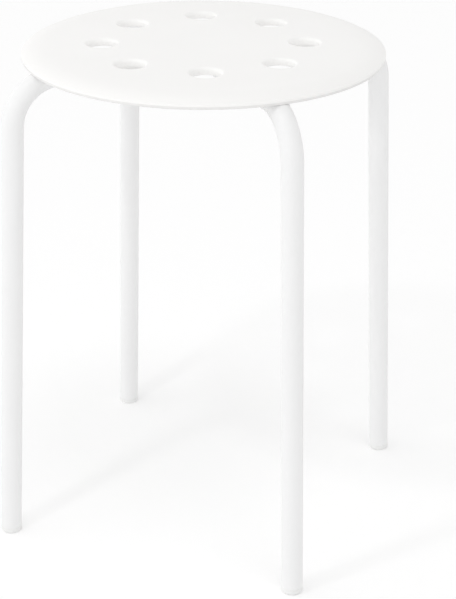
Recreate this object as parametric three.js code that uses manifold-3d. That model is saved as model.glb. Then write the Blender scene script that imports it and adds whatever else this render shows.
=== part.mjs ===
// A stacking stool: a round moulded seat on two bent tube frames that cross under it.
// Millimetres, +Z up. The origin is on the floor under the centre of the seat.
// One frame stands along X and one along Y.
import * as THREE from 'three';
import { mergeVertices } from 'three/addons/utils/BufferGeometryUtils.js';
import Module from 'manifold-3d';

const wasm = await Module();
wasm.setup();

// Seat plate
const SEAT_HEIGHT = 450;
const SEAT_RADIUS = 159.5;
const SEAT_WALL = 2.6;
const CROWN_RISE = 1.6;
const SHOULDER_RUN = 26;
const SHOULDER_DROP = 5.9;
const LIP_DROP = 2.5;
const LIP_ROUNDING = 0.8;

// Ring of round holes, each with a rolled edge on top and a collar below
const HOLE_COUNT = 8;
const HOLE_RING_RADIUS = 89;
const HOLE_RADIUS = 13;
const HOLE_ROUNDING = 3;
const COLLAR_WALL = 2;
const COLLAR_DEPTH = 6.6;

// Ribs and screw bosses under the seat
const RIB_THICKNESS = 2;
const RIB_RISE_OVER_LIP = 1;
const INNER_RIB_RADIUS = 45;
const OUTER_RIB_RADIUS = 125;
const SPOKE_END_RADIUS = 152;
const CHANNEL_GAP = 0.8;
const CHANNEL_BEFORE_BEND = 6.5;
const BOSS_RADIUS = 4.5;
const BOSS_HOLE_GAP = 0.4;
const BOSS_STANDOFF = 2.8;

// Tube frames
const TUBE_RADIUS = 9.5;
const TUBE_WALL = 1.2;
const BEND_RADIUS = 43;
const LEG_OVERHANG = 37.5;
const LEG_SPLAY = THREE.MathUtils.degToRad(2.83);
const PRESS_MARGIN = 1.5;
const PRESS_RAMP = 24;

// Seat screws
const SCREW_BEFORE_BEND = 24.5;
const SCREW_RADIUS = 2.1;
const SCREW_LENGTH = 18;
const SCREW_POINT = 2;
const HEAD_RADIUS = 4.1;
const HEAD_HEIGHT = 2.8;
const RECESS_WIDTH = 1.1;
const RECESS_SPAN = 4.6;
const RECESS_DEPTH = 1.8;

// Foot caps
const FOOT_HEIGHT = 5;
const FOOT_ROUNDING = 2.4;
const FOOT_TOP_CHAMFER = 0.3;
const PLUG_LENGTH = 16;
const PLUG_WALL = 1.6;
const PLUG_FLOOR = 1.5;
const BARB_COUNT = 2;
const BARB_HEIGHT = 0.5;
const BARB_PITCH = 6;

// Clearance between pieces that touch, and the overrun of a cut past the face it opens
const CLEARANCE = 0.3;
const OVERRUN = 2;

// Facets
const SEAT_SIDES = 60;
const SHOULDER_STEPS = 6;
const INNER_SHOULDER_STEPS = 3;
const RIB_SIDES = 32;
const LIP_STEPS = 2;
const HOLE_SIDES = 18;
const HOLE_ROUNDING_STEPS = 3;
const TUBE_SIDES = 20;
const BORE_SIDES = 10;
const BEND_STEPS = 8;
const PRESS_STEPS = 4;
const SCREW_SIDES = 12;
const HEAD_STEPS = 3;
const FOOT_SIDES = 20;
const FOOT_ROUNDING_STEPS = 2;
const WELD_TOLERANCE = 1e-4;

// Sizes worked out from the ones above
const FULL_TURN = 2 * Math.PI;
const QUARTER_TURN = Math.PI / 2;
const shoulderStart = SEAT_RADIUS - SHOULDER_RUN;
const edgeHeight = SEAT_HEIGHT - CROWN_RISE - SHOULDER_DROP;
const lipBottom = edgeHeight - LIP_DROP;
const ribBottom = lipBottom + RIB_RISE_OVER_LIP;
const collarBottom = SEAT_HEIGHT - crownDrop(HOLE_RING_RADIUS) - COLLAR_DEPTH;
const undersideHeight = SEAT_HEIGHT - crownDrop(shoulderStart) - SEAT_WALL;
const crownHeight = undersideHeight - CLEARANCE - TUBE_RADIUS;
const tubeBottom = crownHeight - TUBE_RADIUS;
const boreRadius = TUBE_RADIUS - TUBE_WALL;
const tubeEnd = FOOT_HEIGHT + CLEARANCE;
const bendTurn = QUARTER_TURN - LEG_SPLAY;
const legReach = SEAT_RADIUS + LEG_OVERHANG;
const legReachAtCrown = legReach - crownHeight * Math.tan(LEG_SPLAY);
const bendStart = legReachAtCrown - BEND_RADIUS * Math.tan(bendTurn / 2);
const screwReach = bendStart - SCREW_BEFORE_BEND;
const channelEnd = bendStart - CHANNEL_BEFORE_BEND;
const pressedHalfThickness = (TUBE_RADIUS - CLEARANCE / 2) / 2;
const pressedSpread = (TUBE_RADIUS - pressedHalfThickness) * QUARTER_TURN;
const pressedFlatHalf = pressedHalfThickness + pressedSpread + PRESS_MARGIN;

// Solids

function signedVolume(positions, triangles) {
  const a = new THREE.Vector3();
  const b = new THREE.Vector3();
  const c = new THREE.Vector3();
  let sum = 0;
  for (let i = 0; i < triangles.length; i += 3) {
    a.fromArray(positions, 3 * triangles[i]);
    b.fromArray(positions, 3 * triangles[i + 1]);
    c.fromArray(positions, 3 * triangles[i + 2]);
    sum += a.dot(b.cross(c));
  }
  return sum / 6;
}

// A closed geometry as a solid whose faces point outwards
function solidOf(geometry) {
  const bare = geometry.clone();
  bare.deleteAttribute('normal');
  bare.deleteAttribute('uv');
  const merged = mergeVertices(bare, WELD_TOLERANCE);
  const positions = merged.attributes.position.array;
  const corners = merged.index.array;
  let triangles = [];
  for (let i = 0; i < corners.length; i += 3) {
    const [a, b, c] = [corners[i], corners[i + 1], corners[i + 2]];
    if (a !== b && b !== c && c !== a) {
      triangles.push(a, b, c);
    }
  }
  if (signedVolume(positions, triangles) < 0) {
    triangles = triangles.reverse();
  }
  return new wasm.Manifold(new wasm.Mesh({
    numProp: 3,
    vertProperties: new Float32Array(positions),
    triVerts: new Uint32Array(triangles),
  }));
}

function geometryOf(solid) {
  const mesh = solid.getMesh();
  const geometry = new THREE.BufferGeometry();
  geometry.setAttribute('position', new THREE.BufferAttribute(mesh.vertProperties, mesh.numProp));
  geometry.setIndex(new THREE.BufferAttribute(mesh.triVerts, 1));
  geometry.computeVertexNormals();
  return geometry;
}

function joined(solids) {
  return solids.reduce((whole, solid) => whole.add(solid));
}

function without(solid, cutters) {
  return cutters.reduce((rest, cutter) => rest.subtract(cutter), solid);
}

// A profile of [radius, height] points turned about Z
function turned(profile, sides) {
  const points = profile.map(([radius, height]) => new THREE.Vector2(radius, height));
  return new THREE.LatheGeometry(points, sides).rotateX(QUARTER_TURN);
}

function cylinder(radius, low, high, sides) {
  return turned([[0, low], [radius, low], [radius, high], [0, high]], sides);
}

// A box with its length along X from one radius to another, centred on a line beside the X axis
function bar(from, to, beside, thickness, low, high) {
  const box = new THREE.BoxGeometry(to - from, thickness, high - low);
  return box.translate((from + to) / 2, beside, (low + high) / 2);
}

// Points on a quarter round, from the first direction to the second
function quarterRound(steps, point) {
  return Array.from({ length: steps + 1 }, (_, i) => point(QUARTER_TURN * i / steps));
}

// Rings of points joined into one closed body with flat ends
function lofted(rings) {
  const sides = rings[0].length;
  const middles = [rings[0], rings[rings.length - 1]].map((ring) => {
    const sum = ring.reduce((total, point) => total.add(point), new THREE.Vector3());
    return sum.divideScalar(sides);
  });
  const points = [...rings.flat(), ...middles];
  const [firstMiddle, lastMiddle] = [points.length - 2, points.length - 1];
  const lastRing = (rings.length - 1) * sides;
  const index = [];
  for (let side = 0; side < sides; side += 1) {
    const next = (side + 1) % sides;
    for (let row = 0; row < lastRing; row += sides) {
      const [a, b] = [row + side, row + next];
      const [c, d] = [a + sides, b + sides];
      index.push(a, b, d, a, d, c);
    }
    index.push(firstMiddle, next, side, lastMiddle, lastRing + side, lastRing + next);
  }
  const geometry = new THREE.BufferGeometry().setFromPoints(points);
  geometry.setIndex(index);
  return geometry;
}

// Seat

function crownDrop(radius) {
  return CROWN_RISE * (radius / SEAT_RADIUS) ** 2;
}

// Outline of the seat's top surface, or of a surface at a depth inside its wall. The top is
// crowned inside the shoulder and the underside is flat there, where it lies on the tubes.
function plateOutline(inset, steps) {
  const endRadius = SEAT_RADIUS - inset;
  const endHeight = edgeHeight - LIP_DROP * inset / SEAT_WALL;
  const drop = SEAT_HEIGHT - crownDrop(endRadius) - inset - endHeight;
  const height = (radius, fall) => SEAT_HEIGHT - crownDrop(radius) - inset - fall;
  const flattening = (radius) => (crownDrop(shoulderStart) - crownDrop(radius)) * inset / SEAT_WALL;
  const crown = [0, shoulderStart / 2].map((radius) => [radius, height(radius, flattening(radius))]);
  const shoulder = quarterRound(steps, (angle) => {
    const radius = shoulderStart + (endRadius - shoulderStart) * Math.sin(angle);
    return [radius, height(radius, drop * (1 - Math.cos(angle)))];
  });
  return [...crown, ...shoulder];
}

function seatShell() {
  const lip = quarterRound(LIP_STEPS, (angle) => [
    SEAT_RADIUS - LIP_ROUNDING * (1 - Math.cos(angle)),
    lipBottom + LIP_ROUNDING * (1 - Math.sin(angle)),
  ]);
  const top = plateOutline(0, SHOULDER_STEPS);
  const underside = plateOutline(SEAT_WALL, INNER_SHOULDER_STEPS).reverse();
  return solidOf(turned([...top, ...lip, ...underside], SEAT_SIDES));
}

// Everything below the middle of the seat's wall, which the ribs are trimmed to
function spaceUnderSeat() {
  const inset = SEAT_WALL / 2;
  const low = tubeBottom - OVERRUN;
  const ceiling = plateOutline(inset, INNER_SHOULDER_STEPS);
  return solidOf(turned([...ceiling, [SEAT_RADIUS - inset, low], [0, low]], SEAT_SIDES));
}

// Puts a geometry whose origin lies in the seat's top surface square to it, at a radius and an azimuth
function onSeat(geometry, radius, azimuth) {
  const slope = Math.atan(2 * crownDrop(radius) / radius);
  return geometry.rotateY(slope).translate(radius, 0, SEAT_HEIGHT - crownDrop(radius)).rotateZ(azimuth);
}

function tubeAzimuths() {
  return [0, 1, 2, 3].map((quarter) => quarter * QUARTER_TURN);
}

function holeAzimuths() {
  return Array.from({ length: HOLE_COUNT }, (_, i) => FULL_TURN * (i + 1 / 2) / HOLE_COUNT);
}

function holeCutter() {
  const mouth = HOLE_RADIUS + HOLE_ROUNDING;
  const rolled = quarterRound(HOLE_ROUNDING_STEPS, (angle) => [
    mouth - HOLE_ROUNDING * Math.cos(angle),
    HOLE_ROUNDING * (Math.sin(angle) - 1),
  ]);
  const low = -COLLAR_DEPTH - OVERRUN;
  return turned([[0, low], [HOLE_RADIUS, low], ...rolled, [mouth, OVERRUN], [0, OVERRUN]], HOLE_SIDES);
}

function ringRib(radius) {
  const [inner, outer] = [radius - RIB_THICKNESS / 2, radius + RIB_THICKNESS / 2];
  const section = [
    [inner, ribBottom],
    [outer, ribBottom],
    [outer, SEAT_HEIGHT],
    [inner, SEAT_HEIGHT],
    [inner, ribBottom],
  ];
  return turned(section, RIB_SIDES);
}

function spoke(azimuth, low) {
  return bar(INNER_RIB_RADIUS, SPOKE_END_RADIUS, 0, RIB_THICKNESS, low, SEAT_HEIGHT).rotateZ(azimuth);
}

// One rib along each hole's radius, as deep as the collars, and a deeper one midway between the tubes
function spokes() {
  const atHoles = holeAzimuths().map((azimuth) => spoke(azimuth, collarBottom));
  const between = tubeAzimuths().map((azimuth) => spoke(azimuth + QUARTER_TURN / 2, ribBottom));
  return [...atHoles, ...between];
}

// Two ribs along each tube, one on either side, that hold it to the middle of its height
function channelRibs() {
  const beside = TUBE_RADIUS + CHANNEL_GAP + RIB_THICKNESS / 2;
  const ribs = [];
  for (const azimuth of tubeAzimuths()) {
    for (const side of [-1, 1]) {
      const across = side * beside;
      const rib = bar(INNER_RIB_RADIUS, channelEnd, across, RIB_THICKNESS, crownHeight, SEAT_HEIGHT);
      ribs.push(rib.rotateZ(azimuth));
    }
  }
  return ribs;
}

// One solid for each screw, standing on its axis
function atScrews(low, high, radius) {
  return tubeAzimuths().map((azimuth) => {
    const upright = cylinder(radius, low, high, SCREW_SIDES).translate(screwReach, 0, 0);
    return solidOf(upright.rotateZ(azimuth));
  });
}

function seat() {
  const below = spaceUnderSeat();
  const collars = holeAzimuths().map((azimuth) => {
    const collar = cylinder(HOLE_RADIUS + COLLAR_WALL, -COLLAR_DEPTH, 0, HOLE_SIDES);
    return onSeat(collar, HOLE_RING_RADIUS, azimuth);
  });
  const rings = [INNER_RIB_RADIUS, OUTER_RIB_RADIUS].map(ringRib);
  const ribs = joined([...collars, ...rings, ...spokes(), ...channelRibs()].map(solidOf)).intersect(below);
  const holes = holeAzimuths().map((azimuth) => (
    solidOf(onSeat(holeCutter(), HOLE_RING_RADIUS, azimuth))
  ));
  const relieved = without(seatShell().add(ribs), [...holes, ...tubeEnvelopes()]);

  const bossEnd = tubeBottom + TUBE_WALL + BOSS_STANDOFF;
  const bosses = joined(atScrews(bossEnd, SEAT_HEIGHT, BOSS_RADIUS)).intersect(below);
  const screwHoles = atScrews(bossEnd - OVERRUN, undersideHeight, SCREW_RADIUS + CLEARANCE);
  return without(relieved.add(bosses), screwHoles);
}

// Tube frames

// Smooth change from 1 at the crossing to 0 where the tube is round again
function pressAt(x) {
  return 1 - THREE.MathUtils.smoothstep(Math.abs(x), pressedFlatHalf, pressedFlatHalf + PRESS_RAMP);
}

// Places along the tube's axis from one foot, over the crown, to the other. Each has the angle
// through which the tube has turned down from the crown, and how far it is pressed flat.
function frameStations(footEnd) {
  const half = [{ x: 0, z: crownHeight, angle: 0 }];
  for (let i = 0; i <= PRESS_STEPS; i += 1) {
    half.push({ x: pressedFlatHalf + PRESS_RAMP * i / PRESS_STEPS, z: crownHeight, angle: 0 });
  }
  for (let i = 0; i <= BEND_STEPS; i += 1) {
    const angle = bendTurn * i / BEND_STEPS;
    half.push({
      x: bendStart + BEND_RADIUS * Math.sin(angle),
      z: crownHeight - BEND_RADIUS * (1 - Math.cos(angle)),
      angle,
    });
  }
  half.push({
    x: legReach - footEnd * Math.sin(LEG_SPLAY),
    z: footEnd * Math.cos(LEG_SPLAY),
    angle: bendTurn,
  });
  const mirrored = half.slice(1).reverse().map(({ x, z, angle }) => ({ x: -x, z, angle: -angle }));
  return [...mirrored, ...half];
}

// The tube's section at a place, pressed towards its top (side 1) or its bottom (side -1)
function sectionAt(station, radius, sides, side) {
  const press = pressAt(station.x);
  const flatHalf = pressedHalfThickness - (TUBE_RADIUS - radius);
  const shift = side * (TUBE_RADIUS - pressedHalfThickness);
  const normal = new THREE.Vector3(Math.sin(station.angle), 0, Math.cos(station.angle));
  const centre = new THREE.Vector3(station.x, 0, station.z);
  return Array.from({ length: sides }, (_, i) => {
    const angle = FULL_TURN * (i + 1 / 2) / sides;
    const [across, up] = [Math.cos(angle), Math.sin(angle)];
    const pressedAcross = flatHalf * across + pressedSpread * Math.sign(across);
    const pressedUp = flatHalf * up + shift;
    const acrossNow = THREE.MathUtils.lerp(radius * across, pressedAcross, press);
    const upNow = THREE.MathUtils.lerp(radius * up, pressedUp, press);
    return centre.clone().addScaledVector(normal, upNow).setY(acrossNow);
  });
}

function frameSolid(radius, sides, side, footEnd) {
  return solidOf(lofted(frameStations(footEnd).map((station) => sectionAt(station, radius, sides, side))));
}

// Both frames' outlines with clearance, for what has to stay clear of them
function tubeEnvelopes() {
  const radius = TUBE_RADIUS + CLEARANCE;
  const upper = geometryOf(frameSolid(radius, TUBE_SIDES, 1, tubeEnd));
  const lower = geometryOf(frameSolid(radius, TUBE_SIDES, -1, tubeEnd)).rotateZ(QUARTER_TURN);
  return [solidOf(upper), solidOf(lower)];
}

function legFrame(side) {
  const outside = frameSolid(TUBE_RADIUS, TUBE_SIDES, side, tubeEnd);
  const bore = frameSolid(boreRadius, BORE_SIDES, side, tubeEnd - OVERRUN);
  const bossHole = cylinder(BOSS_RADIUS + BOSS_HOLE_GAP, crownHeight, SEAT_HEIGHT, SCREW_SIDES);
  const screwHole = cylinder(SCREW_RADIUS + CLEARANCE, tubeBottom - OVERRUN, crownHeight, SCREW_SIDES);
  const holes = [bossHole, screwHole].flatMap((hole) => [-1, 1].map((way) => (
    solidOf(hole.clone().translate(way * screwReach, 0, 0))
  )));
  return without(outside, [bore, ...holes]);
}

// Seat screws, with their origin under the head's bearing face and their point upwards

function seatScrew() {
  const dome = quarterRound(HEAD_STEPS, (angle) => [
    HEAD_RADIUS * Math.sin(angle),
    -HEAD_HEIGHT * Math.cos(angle),
  ]);
  const shank = [
    [SCREW_RADIUS, 0],
    [SCREW_RADIUS, SCREW_LENGTH - SCREW_POINT],
    [SCREW_RADIUS / 2, SCREW_LENGTH],
    [0, SCREW_LENGTH],
  ];
  const slotHeight = RECESS_DEPTH + OVERRUN;
  const slotMiddle = RECESS_DEPTH - HEAD_HEIGHT - slotHeight / 2;
  const recess = [0, QUARTER_TURN].map((angle) => {
    const slot = new THREE.BoxGeometry(RECESS_SPAN, RECESS_WIDTH, slotHeight);
    return solidOf(slot.translate(0, 0, slotMiddle).rotateZ(angle));
  });
  return without(solidOf(turned([...dome, ...shank], SCREW_SIDES)), recess);
}

// Foot caps, with their origin where the leg's axis meets the floor and +Z up the leg

function barbedPlug(radius) {
  const points = [];
  for (let i = 0; i < BARB_COUNT; i += 1) {
    const start = FOOT_HEIGHT + BARB_PITCH * (i + 1 / 2);
    const core = radius - BARB_HEIGHT;
    points.push([core, start], [radius, start], [core, start + BARB_PITCH / 2]);
  }
  return points;
}

function footCap() {
  const plugRadius = boreRadius * Math.cos(Math.PI / BORE_SIDES) - CLEARANCE;
  const low = -TUBE_RADIUS * Math.sin(LEG_SPLAY);
  const sole = quarterRound(FOOT_ROUNDING_STEPS, (angle) => [
    TUBE_RADIUS - FOOT_ROUNDING * (1 - Math.sin(angle)),
    low + FOOT_ROUNDING * (1 - Math.cos(angle)),
  ]);
  const plugTop = FOOT_HEIGHT + PLUG_LENGTH;
  const plugCore = plugRadius - BARB_HEIGHT;
  const hollowRadius = plugCore - PLUG_WALL;
  const profile = [
    [0, low],
    ...sole,
    [TUBE_RADIUS, FOOT_HEIGHT - FOOT_TOP_CHAMFER],
    [TUBE_RADIUS - FOOT_TOP_CHAMFER, FOOT_HEIGHT],
    [plugCore, FOOT_HEIGHT],
    ...barbedPlug(plugRadius),
    [plugCore, plugTop - PLUG_WALL],
    [plugCore - PLUG_WALL / 2, plugTop],
    [hollowRadius, plugTop],
    [hollowRadius, FOOT_HEIGHT + PLUG_FLOOR],
    [0, FOOT_HEIGHT + PLUG_FLOOR],
  ];
  const width = 2 * (TUBE_RADIUS + OVERRUN);
  const belowFloor = new THREE.BoxGeometry(width, width, TUBE_RADIUS);
  belowFloor.translate(0, 0, -TUBE_RADIUS / 2).rotateY(LEG_SPLAY);
  return solidOf(turned(profile, FOOT_SIDES)).subtract(solidOf(belowFloor));
}

// Scene

const whitePlastic = new THREE.MeshStandardMaterial({ color: 0xf3f3f1, roughness: 0.42, metalness: 0 });
const whiteCoat = new THREE.MeshStandardMaterial({ color: 0xf0f0ef, roughness: 0.35, metalness: 0 });
const zincSteel = new THREE.MeshStandardMaterial({ color: 0xb9bcc0, roughness: 0.35, metalness: 1 });

function namedMesh(name, geometry, material) {
  const mesh = new THREE.Mesh(geometry, material);
  mesh.name = name;
  return mesh;
}

const stool = new THREE.Group();
stool.add(namedMesh('seat', geometryOf(seat()), whitePlastic));
stool.add(namedMesh('upper_leg_frame', geometryOf(legFrame(1)), whiteCoat));

const lowerFrame = namedMesh('lower_leg_frame', geometryOf(legFrame(-1)), whiteCoat);
lowerFrame.rotation.z = QUARTER_TURN;
stool.add(lowerFrame);

const capGeometry = geometryOf(footCap());
const screwGeometry = geometryOf(seatScrew());
const sideNames = ['right', 'back', 'left', 'front'];
tubeAzimuths().forEach((azimuth, i) => {
  const leg = new THREE.Group();
  leg.rotation.z = azimuth;

  const cap = namedMesh(`foot_cap_${sideNames[i]}`, capGeometry, whitePlastic);
  cap.position.x = legReach;
  cap.rotation.y = -LEG_SPLAY;
  leg.add(cap);

  const screw = namedMesh(`seat_screw_${sideNames[i]}`, screwGeometry, zincSteel);
  screw.position.set(screwReach, 0, tubeBottom - CLEARANCE);
  leg.add(screw);

  stool.add(leg);
});

export default stool;
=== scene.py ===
"""A white stacking stool: a moulded round seat on two bent tube frames that cross under it.

Lengths are in metres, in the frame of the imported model: +Z up, the origin on the floor under the
centre of the seat, the upper leg frame along X and the lower one along Y.
"""

import logging
import math
from abc import ABC, abstractmethod
from dataclasses import dataclass
from enum import Enum
from typing import Callable, ClassVar, Iterable, Sequence

import bmesh
import bpy
from mathutils import Matrix, Vector


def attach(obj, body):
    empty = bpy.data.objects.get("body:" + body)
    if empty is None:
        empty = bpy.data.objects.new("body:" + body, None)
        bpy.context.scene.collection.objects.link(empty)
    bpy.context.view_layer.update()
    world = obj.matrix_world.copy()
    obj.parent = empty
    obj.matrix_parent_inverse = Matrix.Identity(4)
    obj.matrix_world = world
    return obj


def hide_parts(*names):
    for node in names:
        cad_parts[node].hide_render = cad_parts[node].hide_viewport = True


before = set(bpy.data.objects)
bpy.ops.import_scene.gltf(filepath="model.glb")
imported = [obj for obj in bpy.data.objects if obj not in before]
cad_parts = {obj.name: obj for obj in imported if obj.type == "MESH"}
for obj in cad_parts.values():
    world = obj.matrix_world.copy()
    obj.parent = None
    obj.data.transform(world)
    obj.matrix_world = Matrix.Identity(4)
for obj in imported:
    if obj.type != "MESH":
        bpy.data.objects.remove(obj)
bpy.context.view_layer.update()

LOG = logging.getLogger("stool")
MM = 0.001
FULL_TURN = 2 * math.pi
QUARTER_TURN = math.pi / 2
ROOT = "root"

TUBE_RADIUS = 9.5 * MM
LEG_REACH = 197 * MM
LEG_SPLAY = math.radians(2.83)
# Radians that each screw is turned about itself, in the order of the sides.
SCREW_TWISTS = (0.3, 1.1, 0.7, 1.4)

Colour = tuple[float, float, float]
Profile = list[tuple[float, float]]


class Side(Enum):
    """The four legs, numbered by quarter turns from +X."""

    RIGHT = 0
    BACK = 1
    LEFT = 2
    FRONT = 3

    @property
    def label(self) -> str:
        """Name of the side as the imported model's nodes spell it."""
        return self.name.lower()

    @property
    def azimuth(self) -> float:
        """Angle from +X to this side."""
        return self.value * QUARTER_TURN

    @property
    def turn(self) -> Matrix:
        """Turn about Z that brings a piece made on +X to this side."""
        return Matrix.Rotation(self.azimuth, 4, "Z")


class Press(Enum):
    """The way a tube is pressed flat where the frames cross."""

    UP = 1
    DOWN = -1


def evenly(start: float, end: float, steps: int) -> list[float]:
    """Numbers at even steps from a start to an end, both included."""
    return [start + (end - start) * i / steps for i in range(steps + 1)]


def polar(radius: float, angle: float, height: float = 0.0) -> Vector:
    """A point at a radius and an angle from +X round the Z axis."""
    return Vector((radius * math.cos(angle), radius * math.sin(angle), height))


def ring(radius: float, height: float, sides: int) -> list[Vector]:
    """A level ring of points round the Z axis."""
    return [polar(radius, turn, height) for turn in evenly(0.0, FULL_TURN, sides)[:-1]]


def arc(
    centre: tuple[float, float], radius: float, start: float, end: float, steps: int
) -> Profile:
    """Points on a round in a profile's plane, between two angles in degrees, both included."""
    angles = [math.radians(angle) for angle in evenly(start, end, steps)]
    return [(centre[0] + radius * math.cos(a), centre[1] + radius * math.sin(a)) for a in angles]


def stand(name: str, data: bpy.types.ID) -> bpy.types.Object:
    """Makes an object and links it to the scene.

    Args:
        name: The object's name.
        data: Its mesh, lamp or camera.

    Returns:
        The object.
    """
    made = bpy.data.objects.new(name, data)
    bpy.context.collection.objects.link(made)
    return made


class Skin:
    """Rows of points and the faces between them, gathered into one mesh."""

    def __init__(self) -> None:
        """Starts with no points and no faces."""
        self.points: list[Vector] = []
        self.faces: list[tuple[int, ...]] = []

    def row(self, points: Iterable[Vector]) -> list[int]:
        """Adds a row of points.

        Args:
            points: The points, in order.

        Returns:
            Their numbers in the mesh.
        """
        start = len(self.points)
        self.points.extend(points)
        return list(range(start, len(self.points)))

    def join_all(self, rows: Sequence[Sequence[int]]) -> None:
        """Joins each ring to the next with a band of four-sided faces.

        Args:
            rows: The rings' point numbers, in order, as many in each.
        """
        for first, second in zip(rows, rows[1:]):
            for i in range(len(first)):
                j = (i + 1) % len(first)
                self.faces.append((first[i], first[j], second[j], second[i]))

    def cap(self, row: Sequence[int]) -> None:
        """Closes a ring with triangles round its middle.

        Args:
            row: The ring's point numbers.
        """
        middle = sum((self.points[i] for i in row), Vector()) / len(row)
        centre = self.row([middle])[0]
        for i, point in enumerate(row):
            self.faces.append((point, row[(i + 1) % len(row)], centre))

    def tube(self, rings: Iterable[Iterable[Vector]]) -> None:
        """Adds one closed body from rings of points, with a flat fan on each end.

        Args:
            rings: The rings' points, in order along the body.
        """
        rows = [self.row(points) for points in rings]
        self.join_all(rows)
        self.cap(rows[0])
        self.cap(rows[-1])

    def build(self, name: str, sharp: float = 40.0) -> bpy.types.Object:
        """Makes the mesh object, with its faces outwards and its edges smooth below an angle.

        Args:
            name: The object's name.
            sharp: Angle in degrees above which an edge stays sharp.

        Returns:
            The new object, linked to the scene.
        """
        mesh = bpy.data.meshes.new(name)
        mesh.from_pydata(self.points, [], self.faces)
        work = bmesh.new()
        work.from_mesh(mesh)
        bmesh.ops.recalc_face_normals(work, faces=work.faces)
        work.to_mesh(mesh)
        work.free()
        mesh.polygons.foreach_set("use_smooth", [True] * len(mesh.polygons))
        mesh.set_sharp_from_angle(angle=math.radians(sharp))
        return stand(name, mesh)


def dress(piece: bpy.types.Object, slot: str, finish: bpy.types.Material, *nodes: str) -> None:
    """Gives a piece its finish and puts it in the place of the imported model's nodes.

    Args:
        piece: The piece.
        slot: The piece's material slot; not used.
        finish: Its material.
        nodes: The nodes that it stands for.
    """
    piece.data.materials.clear()
    piece.data.materials.append(finish)
    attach(piece, ROOT)
    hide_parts(*nodes)
    LOG.info("%s: %d faces, stands for %s", piece.name, len(piece.data.polygons), ", ".join(nodes))


# Finishes


class Sheet:
    """A node tree with short ways to add and link its nodes."""

    def __init__(self, tree: bpy.types.NodeTree) -> None:
        """Keeps the tree that the nodes go into."""
        self.tree = tree

    def add(
        self, kind: str, settings: dict[str, object] | None = None, **inputs: object
    ) -> bpy.types.Node:
        """Adds a node.

        Args:
            kind: The node's type name, without its Shader prefix.
            settings: Properties of the node itself.
            inputs: Values or output sockets for its inputs, underscores standing for spaces.

        Returns:
            The node.
        """
        node = self.tree.nodes.new(f"ShaderNode{kind}")
        for key, value in (settings or {}).items():
            setattr(node, key, value)
        for key, value in inputs.items():
            self.feed(node.inputs[key.replace("_", " ")], value)
        return node

    def feed(self, socket: bpy.types.NodeSocket, value: object) -> None:
        """Sets an input to a value, or links it to an output.

        Args:
            socket: The input.
            value: A number, a colour, or an output socket.
        """
        if isinstance(value, bpy.types.NodeSocket):
            self.tree.links.new(value, socket)
        elif isinstance(value, tuple) and len(value) == 3 and socket.type == "RGBA":
            socket.default_value = (*value, 1.0)
        else:
            socket.default_value = value

    def place(self) -> bpy.types.NodeSocket:
        """Where the surface is, in its piece's own frame."""
        return self.add("TexCoord").outputs["Object"]

    def blend(self, share: object, first: object, second: object) -> bpy.types.NodeSocket:
        """Mixes two colours by a share, with the Mix node's sockets for colours.

        Args:
            share: 0 for the first colour, 1 for the second.
            first: The first colour.
            second: The second colour.

        Returns:
            The mixed colour's socket.
        """
        node = self.add("Mix", {"data_type": "RGBA"})
        self.feed(node.inputs[0], share)
        self.feed(node.inputs[6], first)
        self.feed(node.inputs[7], second)
        return node.outputs[2]

    def maths(self, operation: str, first: object, second: object) -> bpy.types.NodeSocket:
        """Works out one sum.

        Args:
            operation: The Math node's operation.
            first: The first number.
            second: The second number, which ABSOLUTE leaves unused.

        Returns:
            The result's socket.
        """
        node = self.add("Math", {"operation": operation})
        self.feed(node.inputs[0], first)
        self.feed(node.inputs[1], second)
        return node.outputs[0]

    def remap(
        self, value: object, low: object, high: object, new_low: float = 0.0, new_high: float = 1.0
    ) -> bpy.types.NodeSocket:
        """Moves a value smoothly from one range to another.

        Args:
            value: The value.
            low: Low end of the range it has.
            high: High end of the range it has.
            new_low: What the low end becomes.
            new_high: What the high end becomes.

        Returns:
            The new value's socket.
        """
        node = self.add("MapRange", {"interpolation_type": "SMOOTHSTEP"}, Value=value,
                        From_Min=low, From_Max=high, To_Min=new_low, To_Max=new_high)
        return node.outputs["Result"]

    def effect(self, group: bpy.types.NodeTree, **values: float) -> bpy.types.NodeSocket:
        """Places a shared group.

        Args:
            group: The group.
            values: Its inputs' values.

        Returns:
            The group's output socket.
        """
        node = self.tree.nodes.new("ShaderNodeGroup")
        node.node_tree = group
        for label, value in values.items():
            node.inputs[label].default_value = value
        return node.outputs[0]


class GroupSheet(Sheet):
    """The sheet of a shared group with number inputs and one number output."""

    def __init__(self, name: str, output: str, **inputs: float) -> None:
        """Makes the group and its sockets.

        Args:
            name: The group's name.
            output: Its output's name.
            inputs: Its inputs' names and usual values.
        """
        super().__init__(bpy.data.node_groups.new(name, "ShaderNodeTree"))
        new_socket = self.tree.interface.new_socket
        for label, value in inputs.items():
            socket = new_socket(label, in_out="INPUT", socket_type="NodeSocketFloat")
            socket.default_value = value
        new_socket(output, in_out="OUTPUT", socket_type="NodeSocketFloat")
        self.given = self.tree.nodes.new("NodeGroupInput").outputs
        self.result = self.tree.nodes.new("NodeGroupOutput").inputs[output]

    def finish(self, socket: bpy.types.NodeSocket) -> bpy.types.NodeTree:
        """Links what the group gives out, and hands the group back."""
        self.feed(self.result, socket)
        return self.tree


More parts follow.
